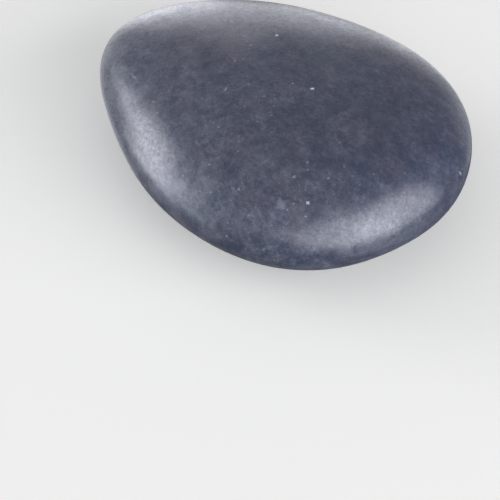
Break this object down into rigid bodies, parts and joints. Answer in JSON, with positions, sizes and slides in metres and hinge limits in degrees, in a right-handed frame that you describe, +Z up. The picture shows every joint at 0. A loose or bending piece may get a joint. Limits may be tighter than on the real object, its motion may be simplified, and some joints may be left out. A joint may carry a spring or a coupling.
{
  "type": "river pebble",
  "caption": "Smooth flattened river pebble of dark fine-grained stone with a satin polish, rounded all over and resting on a worn flat.",
  "frame": {"origin": "on the surface the stone rests on, under the middle of its bounding box", "axes": "+Z up from the resting surface, +X along the length towards the broad end, +Y across the width"},
  "size_m": [0.08, 0.063, 0.0263],
  "materials": {
    "polished_stone": "satin polish on dark blue-grey fine-grained stone, faintly mottled, with a few tiny pale mineral specks"
  },
  "bodies": {
    "root": {"pebble": "polished_stone"}
  },
  "joints": []
}
